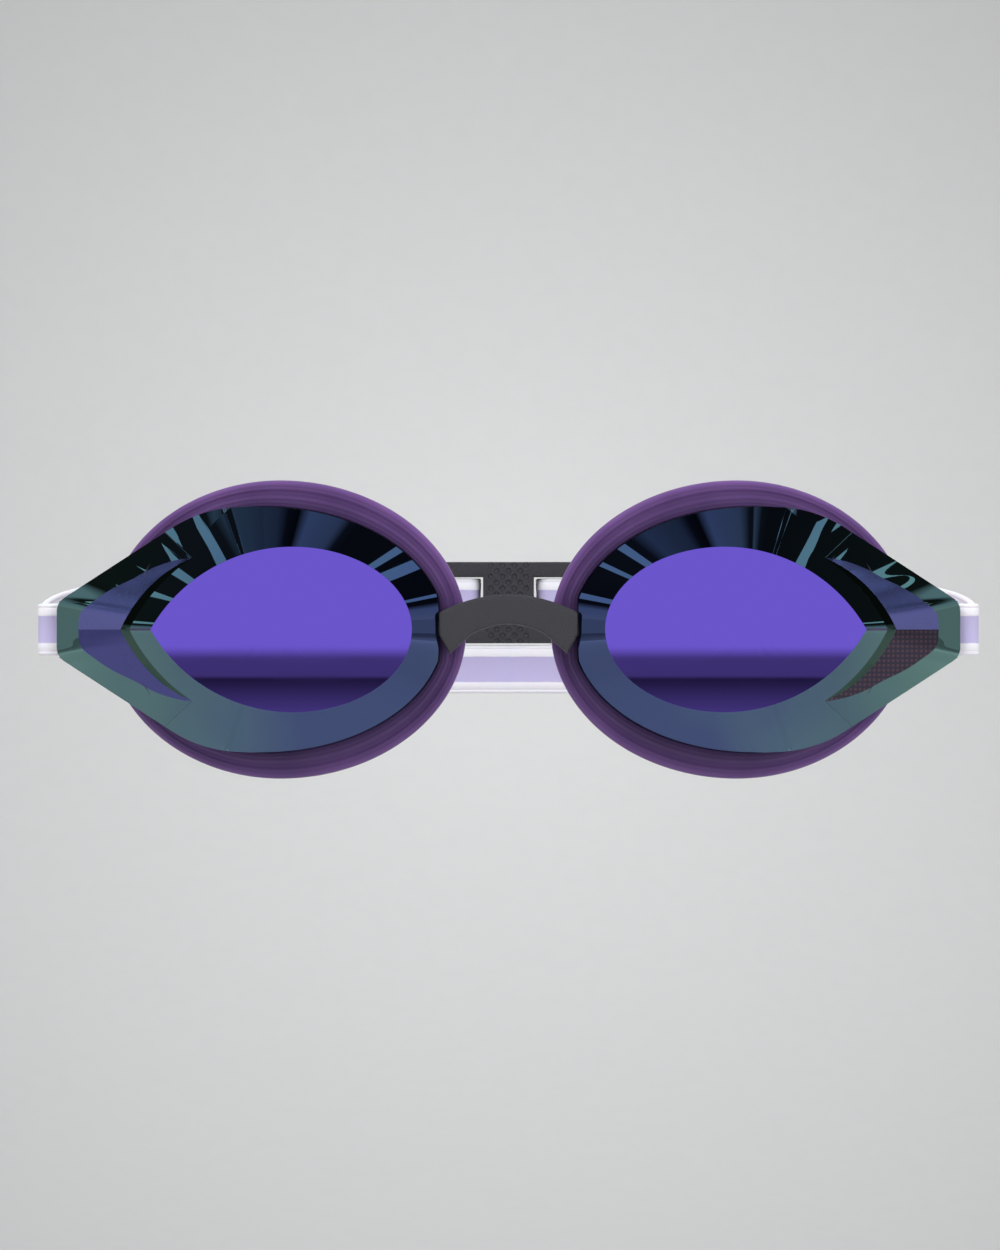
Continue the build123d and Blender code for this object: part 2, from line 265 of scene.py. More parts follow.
def new_material(name):
    """An empty node material and its output node."""
    material = bpy.data.materials.new(name)
    material.use_nodes = True
    material.node_tree.nodes.clear()
    return material, add(material, "OutputMaterial")


def add(material, kind, links=None, numbered=None, **settings):
    """Add a shader node. Links feed its inputs, numbered gives input values by their place in the
    list, and settings are its properties or its input values by name."""
    tree = material.node_tree
    node = tree.nodes.new("ShaderNode" + kind)
    for key, value in settings.items():
        if hasattr(node, key):
            setattr(node, key, value)
        else:
            node.inputs[key.replace("_", " ")].default_value = value
    for key, value in (numbered or {}).items():
        node.inputs[key].default_value = value
    for key, source in (links or {}).items():
        tree.links.new(source, node.inputs[key])
    return node


def ramp(material, factor, stops):
    """A colour ramp over (position, linear colour) stops."""
    node = add(material, "ValToRGB", {"Fac": factor})
    elements = node.color_ramp.elements
    while len(elements) < len(stops):
        elements.new(0.5)
    for element, (position, colour) in zip(elements, stops):
        element.position, element.color = position, colour
    return node.outputs["Color"]


def shade(material, output, links, **settings):
    """Finish a material with a Principled shader."""
    shader = add(material, "BsdfPrincipled", links, **settings)
    material.node_tree.links.new(shader.outputs["BSDF"], output.inputs["Surface"])
    return material


def tinted(tint, *factors):
    """A linear colour with its red, green and blue multiplied."""
    return tuple(np.array(tint) * (*factors, 1))


def object_axes(material):
    """The piece's own coordinates, in millimetres, and their three parts."""
    place = add(material, "TexCoord").outputs["Object"]
    scaled = add(material, "VectorMath", {0: place}, operation="SCALE", Scale=1 / MM)
    parts = add(material, "SeparateXYZ", {0: scaled.outputs["Vector"]})
    return scaled.outputs["Vector"], parts.outputs


def mirror_coating(name, inner_tint, outer_tint, satin=0.0, dots=None):
    """Polycarbonate with a vacuum-deposited interference mirror: smooth as glass, one reflection, and a tint
    that turns from violet-blue to green outwards towards the wing tip. That tint is painted reflection
    colour: it stands in for the greener colour the mirror's reflection shows from the front where the facets
    slant away. The satin faces were bead-blasted in the mould, which spreads their reflections."""
    material, output = new_material(name)
    place, axes = object_axes(material)
    outboard = add(material, "Math", {0: axes["X"]}, operation="ABSOLUTE").outputs[0]
    # Painted reflection colour: the tint moves from the inner to the outer one between 34 and 72 mm outwards,
    # where the facets slant further from the front.
    spread = add(material, "MapRange", {"Value": outboard}, From_Min=34.0, From_Max=72.0)
    cloud = add(material, "TexNoise", {"Vector": place}, Scale=0.06, Detail=1.0)
    shift = add(material, "Math", {0: cloud.outputs["Fac"]}, {1: 0.5, 2: -0.25},
                operation="MULTIPLY_ADD")
    total = add(material, "Math", {0: spread.outputs[0], 1: shift.outputs[0]}, operation="ADD")
    colour = ramp(material, total.outputs[0], [(0.0, tuple(inner_tint)), (1.0, tuple(outer_tint))])
    if dots:
        colour = dot_print(material, place, colour, *dots)
    # Dried water film and handling leave a faint unevenness, about 12 mm across.
    haze = add(material, "TexNoise", {"Vector": place}, Scale=0.08, Detail=3.0)
    rough = add(material, "MapRange", {"Value": haze.outputs["Fac"]},
                To_Min=0.004 + satin, To_Max=0.022 + 1.5 * satin)
    return shade(material, output, {"Base Color": colour, "Roughness": rough.outputs[0]}, Metallic=1.0)


def dot_print(material, place, colour, pitch, dot_tint):
    """Rows of round warm dots under the coating, a pitch apart in millimetres."""
    grid = add(material, "VectorMath", {0: place}, operation="SCALE", Scale=1 / pitch)
    cell = add(material, "VectorMath", {0: grid.outputs["Vector"]}, operation="FRACTION")
    centred = add(material, "VectorMath", {0: cell.outputs["Vector"]}, {1: (0.5, 0.5, 0.5)},
                  operation="SUBTRACT")
    flat = add(material, "VectorMath", {0: centred.outputs["Vector"]}, {1: (1.0, 0.0, 1.0)},
               operation="MULTIPLY")
    reach = add(material, "VectorMath", {0: flat.outputs["Vector"]}, operation="LENGTH")
    dot = add(material, "MapRange", {"Value": reach.outputs["Value"]},
              From_Min=0.36, From_Max=0.22, To_Min=0.0, To_Max=0.6)
    mix = add(material, "Mix", {0: dot.outputs[0], 6: colour}, {7: dot_tint}, data_type="RGBA")
    return mix.outputs[2]


def smoke_polycarbonate():
    """Injection-moulded tinted polycarbonate behind the coating: dark, glossy and slightly wavy
    where the melt flowed, which is what shows from behind and on the cut edges."""
    material, output = new_material("smoke polycarbonate moulded")
    place, _ = object_axes(material)
    flow = add(material, "TexNoise", {"Vector": place}, Scale=0.12, Detail=2.0)
    colour = ramp(material, flow.outputs["Fac"], [(0.3, linear("241F36")), (0.7, linear("383055"))])
    bump = add(material, "Bump", {"Height": flow.outputs["Fac"]}, Strength=0.05, Distance=0.0004)
    return shade(material, output, {"Base Color": colour, "Normal": bump.outputs["Normal"]},
                 Roughness=0.12, IOR=1.585, Coat_Weight=0.3, Coat_Roughness=0.05)


def mould_grain(material, grain, height, low, high, strength, distance):
    """What a mould's texture does: roughness from low to high, and a bump of the height."""
    rough = add(material, "MapRange", {"Value": grain}, To_Min=low, To_Max=high)
    bump = add(material, "Bump", {"Height": height}, Strength=strength, Distance=distance)
    return {"Roughness": rough.outputs[0], "Normal": bump.outputs["Normal"]}


def seal_silicone(tint):
    """Liquid silicone rubber from a spark-eroded mould: satin, slightly translucent at its thin edges, with a
    fine grain about 0.3 mm across and fine dust that lifts the highlights. Its colour carries painted shade:
    darker on the inner band next to the lens, paler towards the rolled outer edge."""
    material, output = new_material("purple silicone moulded")
    place, _ = object_axes(material)
    grain = add(material, "TexNoise", {"Vector": place}, Scale=3.2, Detail=3.0)
    cloud = add(material, "TexNoise", {"Vector": place}, Scale=0.09, Detail=2.0)
    cloudy = ramp(material, cloud.outputs["Fac"], [(0.3, tinted(tint, 0.84, 0.80, 0.86)),
                                                   (0.7, tinted(tint, 1.14, 1.12, 1.1))])
    # Painted shade: the colour is darker on the inner band next to the lens, where shade falls, and paler
    # towards the rolled outer edge.
    across = add(material, "Attribute", attribute_name="across").outputs["Fac"]
    pale = ramp(material, across,
                [(0.15, linear("BEBEC4")), (0.55, linear("E4E4E6")), (0.9, linear("FFFFFF"))])
    mix = add(material, "Mix", {6: cloudy, 7: pale}, {0: 1.0}, data_type="RGBA", blend_type="MULTIPLY")
    feel = mould_grain(material, grain.outputs["Fac"], grain.outputs["Fac"], 0.42, 0.6, 0.12, 0.0001)
    return shade(material, output, {"Base Color": mix.outputs[2], **feel}, IOR=1.41, Subsurface_Weight=0.15,
                 Subsurface_Scale=0.002, Sheen_Weight=0.25, Sheen_Roughness=0.45)


def strap_silicone(edge, middle, share):
    """Two-shot silicone: a lavender stripe moulded into a white band. Softly glossy, with the boundary
    slightly uneven where the two shots met and a fine grain."""
    material, output = new_material("two-shot strap silicone")
    place, _ = object_axes(material)
    across = add(material, "Attribute", attribute_name="across").outputs["Fac"]
    wave = add(material, "TexNoise", {"Vector": place}, Scale=0.5, Detail=2.0)
    uneven = add(material, "Math", {0: wave.outputs["Fac"]}, {1: 0.02, 2: -0.01}, operation="MULTIPLY_ADD")
    line = add(material, "Math", {0: across, 1: uneven.outputs[0]}, operation="ADD").outputs[0]
    white, lavender = tuple(edge), tuple(middle)
    low, high, blur = 0.5 - share / 2, 0.5 + share / 2, 0.012
    colour = ramp(material, line, [(low - blur, white), (low + blur, lavender),
                                   (high - blur, lavender), (high + blur, white)])
    grain = add(material, "TexNoise", {"Vector": place}, Scale=2.4, Detail=4.0)
    feel = mould_grain(material, grain.outputs["Fac"], grain.outputs["Fac"], 0.34, 0.5, 0.08, 0.0001)
    return shade(material, output, {"Base Color": colour, **feel}, IOR=1.41, Subsurface_Weight=0.12,
                 Subsurface_Scale=0.002, Coat_Weight=0.08)


def charcoal_plastic(tint, name, knurl=0.0):
    """Glass-filled nylon from a textured mould: matt charcoal with a fine spark-erosion grain about 0.25 mm
    across, whose colour is a little lighter where the grain stands higher. A knurl gives thumb grip."""
    material, output = new_material(name)
    place, axes = object_axes(material)
    grain = add(material, "TexNoise", {"Vector": place}, Scale=3.8, Detail=4.0)
    height = grain.outputs["Fac"]
    if knurl:
        height = thumb_grip(material, place, axes, height, knurl)
    colour = ramp(material, grain.outputs["Fac"], [(0.3, tinted(tint, 0.85, 0.85, 0.85)),
                                                   (0.75, tinted(tint, 1.18, 1.18, 1.2))])
    feel = mould_grain(material, grain.outputs["Fac"], height, 0.45, 0.62, 0.8 if knurl else 0.35, 0.00025)
    return shade(material, output, {"Base Color": colour, **feel}, IOR=1.5)


def thumb_grip(material, place, axes, height, pitch):
    """Small round pits in a diamond grid on the clip's middle block, on top of the grain."""
    turned = add(material, "VectorRotate", {"Vector": place}, rotation_type="Y_AXIS",
                 Angle=math.radians(45))
    scaled = add(material, "VectorMath", {0: turned.outputs[0]}, {1: (1 / pitch, 0.0, 1 / pitch)},
                 operation="MULTIPLY")
    bumps = add(material, "TexVoronoi", {"Vector": scaled.outputs["Vector"]}, Scale=1.0,
                Randomness=0.0)
    dome = add(material, "MapRange", {"Value": bumps.outputs["Distance"]},
               From_Min=0.2, From_Max=0.36, To_Min=-2.4, To_Max=0.0)
    outboard = add(material, "Math", {0: axes["X"]}, operation="ABSOLUTE").outputs[0]
    block = add(material, "MapRange", {"Value": outboard}, From_Min=3.6, From_Max=4.0,
                To_Min=1.0, To_Max=0.0)
    kept = add(material, "Math", {0: dome.outputs[0], 1: block.outputs[0]}, operation="MULTIPLY")
    return add(material, "Math", {0: kept.outputs[0], 1: height}, operation="ADD").outputs[0]


# ---- Outlines, in millimetres


def rounded(corners, radii, closed=False, steps=9):
    """A path through corners with a circular arc of the given radius at each; 0 keeps a corner.

    The arc touches both sides at radius / tan(half the corner's angle) from the corner, and its
    points turn evenly from one touching point to the other."""
    corners = np.asarray(corners, float)
    path = []
    for i, (corner, radius) in enumerate(zip(corners, radii)):
        ends = not closed and i in (0, len(corners) - 1)
        if radius == 0 or ends:
            path.append(corner[None])
            continue
        back, on = corners[i - 1] - corner, corners[(i + 1) % len(corners)] - corner
        back, on = back / np.linalg.norm(back), on / np.linalg.norm(on)
        half = math.acos(np.clip(back @ on, -1, 1)) / 2
        middle = corner + (back + on) / np.linalg.norm(back + on) * radius / math.sin(half)
        first, last = corner + back * radius / math.tan(half), corner + on * radius / math.tan(half)
        turn, share = math.pi - 2 * half, np.linspace(0, 1, steps)[:, None]
        path.append(middle + (np.sin((1 - share) * turn) * (first - middle)
                              + np.sin(share * turn) * (last - middle)) / math.sin(turn))
    return np.concatenate(path)


def dense(path, spacing=0.2, closed=False):
    """The same path with points added so that none are further apart than the spacing."""
    if closed:
        path = np.concatenate([path, path[:1]])
    gaps = np.linalg.norm(np.diff(path, axis=0), axis=1)
    along = np.concatenate([[0], np.cumsum(gaps)])
    even = np.linspace(0, along[-1], max(2, int(along[-1] / spacing)))
    wanted = np.unique(np.round(np.concatenate([even, along]), 6))
    points = np.stack([np.interp(wanted, along, path[:, k]) for k in range(path.shape[1])], 1)
    return points[:-1] if closed else points


def curve(x, knots):
    """A smooth curve through (x, y) knots: a cubic between each pair whose slope at a knot is the
    mean slope on its two sides."""
    xs, ys = np.array(knots, float).T
    slopes = np.gradient(ys, xs)
    i = np.clip(np.searchsorted(xs, x) - 1, 0, len(xs) - 2)
    width = xs[i + 1] - xs[i]
    t = np.clip((x - xs[i]) / width, 0, 1)
    return ((2 * t**3 - 3 * t**2 + 1) * ys[i] + (t**3 - 2 * t**2 + t) * width * slopes[i]
            + (3 * t**2 - 2 * t**3) * ys[i + 1] + (t**3 - t**2) * width * slopes[i + 1])


def ellipse(centre_x, across, up, start, end, count=400):
    """Points of an ellipse about (centre_x, 0) between two angles in degrees: the half width times
    the angle's cosine, and the half height times its sine."""
    angle = np.radians(np.linspace(start, end, count))
    return np.stack([centre_x + across * np.cos(angle), up * np.sin(angle)], 1)


# The window's widest place, its reach towards the nose, half its height, and its arcs' radius.
WINDOW_X, WINDOW_NASAL, WINDOW_HALF, WINDOW_ARC = 36.0, 19.9, 13.8, 27.25
# The rim's widest place, its reach towards nose and temple, and half its height.
RIM_X, RIM_NASAL, RIM_TEMPLE, RIM_HALF = 41.0, 30.2, 22.5, 20.5
NASAL_END, TIP_X = LENS_LOW[0], LENS_HIGH[0]
NASAL_HALF = RIM_HALF * math.sqrt(1 - ((RIM_X - NASAL_END) / RIM_NASAL) ** 2)
WING_CORNER_X, WING_TIP_HALF = 50.9, 4.51
WING_SHOULDER_RADIUS, WING_TIP_RADIUS = 22.0, 2.6


def window_outline(outset=0.0):
    """The window: half an ellipse towards the nose and two arcs that meet in a point."""
    radius, drop = WINDOW_ARC + outset, WINDOW_ARC - WINDOW_HALF
    reach = math.degrees(math.asin(drop / radius))
    nasal = ellipse(WINDOW_X, WINDOW_NASAL + outset, WINDOW_HALF + outset, 90, 270)
    arc = np.radians(np.linspace(90, reach, 300))
    upper = np.stack([WINDOW_X + radius * np.cos(arc), radius * np.sin(arc) - drop], 1)
    return np.concatenate([nasal, upper[:0:-1] * (1, -1), upper[::-1]])


def rim_outline():
    """The lens from the front: a half-ellipse cut off square at the nose, and the wing."""
    nasal = ellipse(RIM_X, RIM_NASAL, RIM_HALF, 90, 180)
    nasal = nasal[nasal[:, 0] > NASAL_END]
    corners = [(RIM_X, RIM_HALF), (WING_CORNER_X, RIM_HALF), (TIP_X, WING_TIP_HALF), (TIP_X, 0)]
    wing = rounded(corners, [0, WING_SHOULDER_RADIUS, WING_TIP_RADIUS, 0])
    upper = np.concatenate([[(NASAL_END, 0), (NASAL_END, NASAL_HALF)], nasal[::-1], dense(wing[1:], 0.3)])
    return np.concatenate([upper, upper[-2:0:-1] * (1, -1)])


def cup_outline(inset=0.0):
    """The eyecup's wall line: two half-ellipses, cut off square at the nose."""
    loop = np.concatenate([ellipse(RIM_X, RIM_NASAL - inset, RIM_HALF - inset, 90, 270),
                           ellipse(RIM_X, RIM_TEMPLE - inset, RIM_HALF - inset, 270, 450)[1:-1]])
    loop[:, 0] = np.maximum(loop[:, 0], NASAL_END + inset)
    return dense(loop, 0.2, closed=True)


def seat(x):
    """Depth of the plane on which the seal sits: 0.16 mm more for each millimetre outwards."""
    return 11.2 + 0.16 * (x - 11.8)


def nearest(points, outline):
    """Distance from each point of a grid to the closest point of an outline."""
    flat = points.reshape(-1, 1, 2)
    return np.concatenate([np.linalg.norm(part - outline, axis=2).min(1)
                           for part in np.array_split(flat, 40)]).reshape(points.shape[:-1])


# ---- Lenses

LENS_CENTRE = 40.0
BEVEL_SLOPE = 4.5 / 6.7
FOOT_WIDTH = 1.6
INSIDE_DROP = 0.2
WINDOW_COAT, BEVEL_COAT, FACET_COAT, DOTTED_COAT, SMOKE, STEP_COAT, LOWER_COAT = range(7)
# From the front: where each crease starts and ends, by its direction from the lens's centre.
CREASE_START, CREASE_END = math.radians(42.7), math.radians(72.5)
# Outer edge of the leaf-shaped facets as (x, z), and depths of the rim and of that edge as (x, y).
LEAF_EDGE = [(72.25, 0), (71.7, 3.0), (69.25, 5.0), (66.8, 6.6), (63.0, 8.45), (59.6, 10.25), (53.0, 11.95)]
RIM_DEPTH = [(41, 4.75), (46.1, 5.1), (53, 5.75), (59.75, 6.9), (66.4, 8.7), (73.1, 11.3), (76, 12.9)]
LEAF_DEPTH = [(53, 2.4), (59.6, 5.2), (63, 6.5), (66.8, 7.9), (69.25, 8.9), (71.7, 9.9), (72.25, 10.3)]
SOCKET_RADIUS, SOCKET_ENDS = 2.7, (-3.9, 4.1)
POST_RADIUS, POST_ENDS = 1.2, (-4.9, 4.9)
EAR_FRONT, EAR_BACK = 12.9, 19.8


def lens_angles():
    """Directions round the lens, with an exact one at every corner of its outlines."""
    exact = np.array([0, CREASE_START, CREASE_END, math.atan2(NASAL_HALF, NASAL_END - LENS_CENTRE), np.pi])
    even = np.linspace(0, np.pi, 361)
    even = even[np.abs(even[:, None] - exact).min(1) > 0.004]
    upper = np.sort(np.concatenate([even, exact]))
    return np.concatenate([upper, -upper[-2:0:-1]])


def lens_profile(crest_width, step_depth):
    """Distances and depths of the lens's front along each direction.

    The rings are the window's edge, the crest, the foot of the step, the outer edge of the two
    leaf-shaped facets and the rim. Where the wing has no facets they all lie on the rim."""
    angles = lens_angles()
    up = np.abs(angles)
    window = polar_radius(window_outline(), LENS_CENTRE, angles)
    rim = polar_radius(rim_outline(), LENS_CENTRE, angles)
    crest_line = polar_radius(window_outline(crest_width), LENS_CENTRE, angles)
    start, end = crest_line[angles == CREASE_START][0], rim[angles == CREASE_END][0]
    crease = np.interp(up, [CREASE_START, CREASE_END], [start, end])
    crest = np.where(up <= CREASE_START, crest_line, np.where(up < CREASE_END, crease, rim))
    taper = np.clip(1 - (up / CREASE_START) ** 2, 0, 1)
    foot = crest + FOOT_WIDTH * taper
    edge = np.array(LEAF_EDGE) - (LENS_CENTRE, 0)
    leaf_line = curve(up, np.stack([np.arctan2(edge[:, 1], edge[:, 0]), np.hypot(*edge.T)], 1))
    leaf = np.where(up <= CREASE_START, np.maximum(leaf_line, foot), crest)
    radii = np.stack([window, crest, foot, leaf, rim])
    place = radii * np.cos(angles) + LENS_CENTRE
    height = radii * np.sin(angles)
    # The bevel is as deep as its slope times the distance from the window's edge.
    window_edge = dense(window_outline(), 0.1, closed=True)
    crest_depth, rim_depth = (BEVEL_SLOPE * nearest(np.stack([place[k], height[k]], -1), window_edge)
                              for k in (1, 4))
    rim_depth = np.where(place[4] < RIM_X, rim_depth, curve(place[4], RIM_DEPTH))
    crest_depth = np.where(up < CREASE_END, np.minimum(crest_depth, rim_depth), rim_depth)
    foot_depth = crest_depth + step_depth * taper
    facet_depth = np.maximum(curve(place[3], LEAF_DEPTH), foot_depth)
    leaf_depth = np.where(up <= CREASE_START, facet_depth, crest_depth)
    depths = np.stack([0 * rim, crest_depth, foot_depth, leaf_depth, rim_depth])
    return angles, radii, depths


def wall_back(angles, rim):
    """Depth of the wall's rear edge: the seat at the eyecup, in front of the seal along the wing,
    cut short between the two ears that hold the strap's post."""
    x, z = LENS_CENTRE + rim * np.cos(angles), np.abs(rim * np.sin(angles))
    seal_room, slot_edge, slot_depth, ear_start = 3.6, (35.6, 4.65), 15.15, (71.9, 4.6)
    back = np.where(x < RIM_X, seat(x), seat(x) - seal_room)
    slot = (np.abs(angles) < math.atan2(slot_edge[1], slot_edge[0])) & (x > 69)
    ear = (x > ear_start[0]) & (z > ear_start[1])
    return np.where(slot, slot_depth, np.where(ear, EAR_BACK + 0.1, back))


def lens_shell(surface, settings, dotted):
    """The whole moulding as one closed skin: out over the front, round the rim, back along the
    wall, and in again over the inside, which is the front moved back by the wall's thickness."""
    wall = settings.wall / MM
    angles, radii, depths = lens_profile(settings.crest / MM, settings.step / MM)
    window, rim = radii[0], radii[4]
    back = wall_back(angles, rim)
    rings = [(0.02 * window, 0 * rim), (0.5 * window, 0 * rim)]
    rings += [(radii[k], depths[k]) for k in range(5)]
    rings += [(rim, (depths[4] + back) / 2), (rim, back)]
    limit = rim - wall
    has_leaf = np.abs(angles) < CREASE_END
    base_r, base_y = np.where(has_leaf, radii[3], window), np.where(has_leaf, depths[3], 0)
    slope = (depths[4] - base_y) / np.maximum(rim - base_r, 0.3)
    edge = base_y + slope * (limit - base_r)
    inside = wall + INSIDE_DROP
    rings += [(limit, back), (limit, np.maximum(edge + wall, depths[4]))]
    rings += [(np.minimum(radii[k], limit), np.where(radii[k] < limit, depths[k], edge) + inside)
              for k in (3, 2, 1, 0)]
    rings += [(0.5 * window, 0 * rim + inside), (0.02 * window, 0 * rim + inside)]
    reach, depth = (np.stack(part) for part in zip(*rings))
    grid = np.stack([LENS_CENTRE + reach * np.cos(angles), depth, reach * np.sin(angles)], -1)
    ends = [np.broadcast_to([LENS_CENTRE, y, 0.0], grid[:1].shape) for y in (0.0, inside)]
    grid = np.concatenate([ends[0], grid, ends[1]])
    # Rows of faces, from the middle outwards: 0 to 2 are the window, 3 the bevel as far as the crest,
    # 4 the step, 5 the leaf facets, 6 the wing round them, 7 and 8 the wall, and the rest the inside.
    slots = np.full((len(grid) - 1, len(angles)), SMOKE)
    slots[:3] = WINDOW_COAT
    slots[3:9] = BEVEL_COAT
    middle = angles + np.diff(np.append(angles, angles[0] + 2 * np.pi)) % (2 * np.pi) / 2
    middle = (middle + np.pi) % (2 * np.pi) - np.pi
    in_leaf = np.abs(middle) < CREASE_START
    slots[4, in_leaf] = STEP_COAT
    slots[5, in_leaf] = FACET_COAT
    slots[5, in_leaf & (middle < 0)] = DOTTED_COAT if dotted else LOWER_COAT
    slots[3, np.abs(middle) < 0.009] = SMOKE
    # The grid runs from the centre outwards and anticlockwise, so its faces look to the front.
    surface.patch(grid[::-1], wrap_columns=True, slot=slots[::-1])


def box_skin(low, high):
    """Two loops that make an upright box when closed as a tube."""
    x, y = (low[0], high[0]), (low[1], high[1])
    loop = np.array([(x[0], y[0]), (x[0], y[1]), (x[1], y[1]), (x[1], y[0])])
    loop = dense(loop, 1.0, closed=True)
    return np.stack([np.column_stack([loop, np.full(len(loop), z)]) for z in (low[2], high[2])])


def ear_skin(top):
    """Two loops that make an ear behind the wing's tip: straight at the slot, and following the
    wing's edge outside it."""
    loop = np.array([(72.2, 4.68), (75.6, 4.68), (75.6, 4.75), (75.0, 5.0), (72.2, 6.8)]) * (1, top)
    loop = dense(loop, 0.4, closed=True)
    return np.stack([np.column_stack([loop[:, 0], np.full(len(loop), y), loop[:, 1]])
                     for y in (EAR_FRONT, EAR_BACK)])


def round_bar(x, y, radius, bottom, top):
    """Two loops that make an upright round bar when closed as a tube."""
    angle = np.linspace(0, 2 * np.pi, 40, endpoint=False)
    loop = np.stack([x + radius * np.cos(-angle), y + radius * np.sin(-angle)], 1)
    return np.stack([np.column_stack([loop, np.full(len(loop), z)]) for z in (bottom, top)])


def cup_wall(surface, wall):
    """The temple side of the eyecup's wall, behind the wing: a band on the wall's half-ellipse,
    from a level front edge to the seat."""
    angle = np.radians(np.linspace(-90, 90, 181))
    front = 5.6
    loops = []
    for inset, depth in ((0, front), (0, None), (wall, None), (wall, front)):
        x = RIM_X + (RIM_TEMPLE - inset) * np.cos(angle)
        z = (RIM_HALF - inset) * np.sin(angle)
        loops.append(np.stack([x, seat(x) if depth is None else 0 * x + depth, z], 1))
    surface.tube(np.stack(loops, 1)[:, ::-1], slot=SMOKE)


def build_lens(side_name, settings, coats):
    """One lens with its ears, its strap post and its socket for the bridge's bead."""
    surface, side = Surface(), SIDES[side_name]
    lens_shell(surface, settings, side > 0)
    cup_wall(surface, settings.wall / MM)
    surface.tube(round_bar(POST[0], POST[1], POST_RADIUS, *POST_ENDS), slot=SMOKE)
    for top in (1, -1):
        surface.tube(ear_skin(top), slot=SMOKE)
    socket = round_bar(BEAD[0], BEAD[1], SOCKET_RADIUS, *SOCKET_ENDS)
    # The socket stays inside the moulding: behind the bevel and inside the square nasal end.
    socket[..., 0] = np.maximum(socket[..., 0], NASAL_END + 0.5)
    bevel_depth = BEVEL_SLOPE * (WINDOW_X - WINDOW_NASAL - socket[..., 0])
    socket[..., 1] = np.maximum(socket[..., 1], bevel_depth + 0.9)
    surface.tube(socket, slot=SMOKE)
    piece = surface.finish(f"{side_name}_mirrored_lens", side, coats, sharp_degrees=24)
    round_edges(piece, settings.edge_round / MM, degrees=7)
    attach(piece, f"{side_name}_eyecup")
    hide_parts(f"{side_name}_lens")


# ---- Seals

# The seal's outer ellipses: their middle, reach towards nose and temple, and half their height.
SEAL_X, SEAL_NASAL, SEAL_TEMPLE, SEAL_HALF = 38.5, 31.4, 29.4, 25.1
SEAL_WIDTH = 4.5
SEAL_FIT = 0.1


def seal_section(ripple):
    """The seal cut across: distance outwards from the eyecup's wall line, and depth from the seat.

    Its front is two soft bands with a valley between them, a bell curve half a millimetre wide,
    and fine rings, a cosine 0.76 mm long; its back is a rounded lip that lies on the face."""
    out = np.linspace(0.55, 3.6, 60)
    front = -3.3 + 0.2 * np.exp(-((out - 2.2) / 0.6) ** 2) + ripple * (1 - np.cos(2 * np.pi * out / 0.76))
    corners = [(3.6, -3.3), (SEAL_WIDTH, -3.05), (SEAL_WIDTH, 6.0), (0.2, 6.0), (-1.8, 5.0), (-1.8, 0.0),
               (0.0, 0.0), (0.0, -3.3), (0.55, -3.3)]
    rolled = rounded(corners, [0, 0.85, 1.9, 1.5, 0.9, 0.3, 0.2, 0.35, 0], steps=7)
    return np.concatenate([np.stack([out, front], 1), dense(rolled[1:-1], 0.5)])


def build_seal(side_name, settings, silicone):
    """One soft ring: its section carried round, between the wall line and the outer ellipse."""
    surface, side = Surface(), SIDES[side_name]
    angles = np.linspace(-np.pi, np.pi, 480, endpoint=False)
    outer_loop = np.concatenate([ellipse(SEAL_X, SEAL_NASAL, SEAL_HALF, 90, 270),
                                 ellipse(SEAL_X, SEAL_TEMPLE, SEAL_HALF, 270, 450)[1:-1]])
    inner = polar_radius(cup_outline(-SEAL_FIT), LENS_CENTRE, angles)[None]
    outer = polar_radius(dense(outer_loop, 0.2, closed=True), LENS_CENTRE, angles)[None]
    section = seal_section(settings.seal_ripple / MM)
    reach, depth = section[:, :1], section[:, 1:]
    radius = inner + np.where(reach < 0, reach, reach * (outer - inner) / SEAL_WIDTH)
    x = LENS_CENTRE + radius * np.cos(angles)
    grid = np.stack([x, seat(x) + depth, radius * np.sin(angles)], -1)
    # The across value, 0 at the wall line and 1 at the outer edge, places the seal's painted shade on its
    # inner band.
    band = np.broadcast_to(np.clip(reach / SEAL_WIDTH, 0, 1), grid.shape[:2])
    surface.patch(grid, wrap_rows=True, wrap_columns=True, across=band)
    piece = surface.finish(f"{side_name}_silicone_seal", side, [silicone], sharp_degrees=60)
    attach(piece, f"{side_name}_eyecup")
    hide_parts(f"{side_name}_seal")


# ---- Nose bridge

BRIDGE_END, BRIDGE_FOOT = 11.5, (9.8, -4.1)
BRIDGE_TOP, BRIDGE_SHOULDER, BRIDGE_END_LOW = 5.85, 2.95, -1.2
BRIDGE_DEPTH, BRIDGE_HALF_DEPTH = 4.2, 2.0
NECK_START, NECK_LOW, NECK_HIGH = 9.0, (3.4, -1.1), (5.0, 2.8)
BEAD_RADIUS, BEAD_ENDS = 1.5, (-2.7, 2.9)


def squarer(wave):
    """A sine or cosine to the power 0.3 with its sign kept, which makes a circle nearly square."""
    return np.sign(wave) * np.abs(wave) ** 0.3


